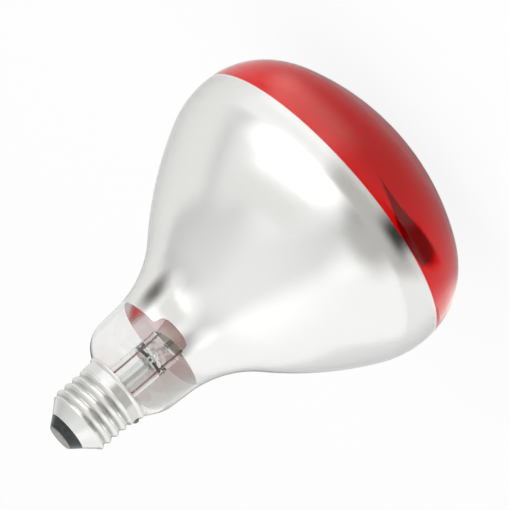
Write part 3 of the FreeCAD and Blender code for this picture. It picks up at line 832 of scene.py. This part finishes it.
def empty_material(name):
    material = bpy.data.materials.new(name)
    material.use_nodes = True
    material.node_tree.nodes.clear()
    return material, material.node_tree.nodes, material.node_tree.links


def glow(nodes, color):
    node = nodes.new("ShaderNodeEmission")
    node.inputs["Color"].default_value = (*color, 1)
    return node


def mixed_surface(nodes, links, share, first, second):
    """Makes the material's surface run from the first shader, at share 0, to the second."""
    mix = nodes.new("ShaderNodeMixShader")
    output = nodes.new("ShaderNodeOutputMaterial")
    for source, target in zip((share, first.outputs[0], second.outputs[0]), mix.inputs):
        links.new(source, target)
    links.new(mix.outputs[0], output.inputs["Surface"])


def panel(name, points, covers, faces, shade, mirrored=True, through_glass=True):
    """A stage panel that the camera never sees. Its edges fade by the points' cover."""
    material, nodes, links = empty_material(name)
    cover = nodes.new("ShaderNodeAttribute")
    cover.attribute_name = "cover"
    mixed_surface(nodes, links, cover.outputs["Fac"], nodes.new("ShaderNodeBsdfTransparent"),
                  glow(nodes, shade))
    mesh = bpy.data.meshes.new(name)
    mesh.from_pydata(points, [], faces)
    mesh.attributes.new("cover", "FLOAT", "POINT").data.foreach_set("value", covers)
    mesh.materials.append(material)
    piece = add_object(name, mesh)
    piece.visible_camera = False
    piece.visible_diffuse = False
    piece.visible_shadow = False
    piece.visible_glossy = mirrored
    piece.visible_transmission = through_glass


def grid_faces(across, along):
    """Four-cornered faces over rows of across + 1 points."""
    starts = [j * (across + 1) + i for j in range(along) for i in range(across)]
    return [(a, a + 1, a + across + 2, a + across + 1) for a in starts]


def card(name, azimuths, heights, radius, shade, blur, through_glass):
    """A curved upright card, fading at its sides and its top, and below if it hangs."""
    across, up = CARD_GRID
    points, covers = [], []
    for j in range(up + 1):
        for i in range(across + 1):
            azimuth = azimuths[0] + (azimuths[1] - azimuths[0]) * i / across
            flat = look(azimuth, 0) * radius
            points.append((flat.x, flat.y, heights[0] + (heights[1] - heights[0]) * j / up))
            low = j / up if heights[0] > 0 else 1
            covers.append(smooth_step(0, blur, min(i, across - i) / across)
                          * smooth_step(0, blur, min(1 - j / up, low)))
    panel(name, points, covers, grid_faces(across, up), shade, through_glass=through_glass)


def floor_shadow_card():
    """The flat dark card behind the lamp, a painted shadow on the floor, which shows only through
    the red face.
    """
    outline = [Vector(p) for p in SHADOW_CARD_OUTLINE]
    count = len(outline)
    middle = sum(outline, Vector((0, 0))) / count
    points = [(*(middle * MM), FLOOR_CARD_HEIGHT * MM)]
    for share in (SHADOW_CARD_WHOLE, SHADOW_CARD_GONE):
        points += [(*((middle + (p - middle) * share) * MM), FLOOR_CARD_HEIGHT * MM)
                   for p in outline]
    covers = [1.0] * (1 + count) + [0.0] * count
    faces = []
    for a in range(1, count + 1):
        b = a % count + 1
        faces += [(0, a, b), (a, a + count, b + count, b)]
    panel("floor_shadow_card", points, covers, faces, SHADOW_CARD_SHADE, mirrored=False)


def floor_sector(name, azimuths, distances, shade, blur, mirrored, through_glass):
    """A part of a ring on the floor, fading at all four sides."""
    across, out = SECTOR_GRID
    points, covers = [], []
    for j in range(out + 1):
        distance = distances[0] * (distances[1] / distances[0]) ** (j / out) * MM
        for i in range(across + 1):
            azimuth = azimuths[0] + (azimuths[1] - azimuths[0]) * i / across
            flat = look(azimuth, 0) * distance
            points.append((flat.x, flat.y, FLOOR_CARD_HEIGHT * MM))
            covers.append(smooth_step(0, blur, min(i, across - i) / across)
                          * smooth_step(0, blur, min(j, out - j) / out))
    panel(name, points, covers, grid_faces(across, out), shade, mirrored, through_glass)


def make_floor():
    material, nodes, links = empty_material("floor")
    diffuse = nodes.new("ShaderNodeBsdfDiffuse")
    diffuse.inputs["Color"].default_value = (*FLOOR_GREY, 1)
    paths = nodes.new("ShaderNodeLightPath")
    seen = 0.0
    for ray, amount in FLOOR_GLOW.items():
        part = arithmetic(nodes, links, "MULTIPLY", paths.outputs[ray], amount)
        seen = arithmetic(nodes, links, "MAXIMUM", seen, part)
    mixed_surface(nodes, links, seen, diffuse, glow(nodes, WHITE))
    mesh = bpy.data.meshes.new("floor")
    corners = [(-1, -1), (1, -1), (1, 1), (-1, 1)]
    mesh.from_pydata([(FLOOR_REACH * x, FLOOR_REACH * y, 0) for x, y in corners], [],
                     [(0, 1, 2, 3)])
    mesh.materials.append(material)
    add_object("floor", mesh)


def make_world():
    world = bpy.data.worlds.new("studio")
    bpy.context.scene.world = world
    world.use_nodes = True
    nodes, links = world.node_tree.nodes, world.node_tree.links
    background = nodes["Background"]
    background.inputs["Color"].default_value = (*WHITE, 1)
    towards = nodes.new("ShaderNodeTexCoord").outputs["Generated"]
    total = STUDIO
    for azimuth, elevation, full, gone, amount in PANELS:
        dot = nodes.new("ShaderNodeVectorMath")
        dot.operation = "DOT_PRODUCT"
        dot.inputs[1].default_value = look(azimuth, elevation)
        links.new(towards, dot.inputs[0])
        limits = (math.cos(math.radians(gone)), math.cos(math.radians(full)))
        part = fade(nodes, links, dot.outputs["Value"], limits, (0, amount))
        total = arithmetic(nodes, links, "ADD", part, total)
    links.new(total, background.inputs["Strength"])


def main():
    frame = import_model()
    bpy.context.scene.view_settings.view_transform = "Standard"

    metals = wire_metals()
    glass_envelope(glass("clear_glass", (0.985, 0.985, 0.98)),
                   glass("clear_glass_face", (0.985, 0.99, 0.99), ior=1.38))
    red_coating(red_film())
    mirror_coating(mirror("mirror_film"), mirror_inside(), one_way(mirror("mirror_film_edge")))
    cap_shell(cap_metal())
    filament(metals["tungsten"])
    dress(frame, metals)

    make_floor()
    make_world()
    make_camera()
    key_light(azimuth=38, elevation=20)
    for row in CARDS:
        card(*row)
    floor_shadow_card()
    for row in FLOOR_SECTORS:
        floor_sector(*row)


main()
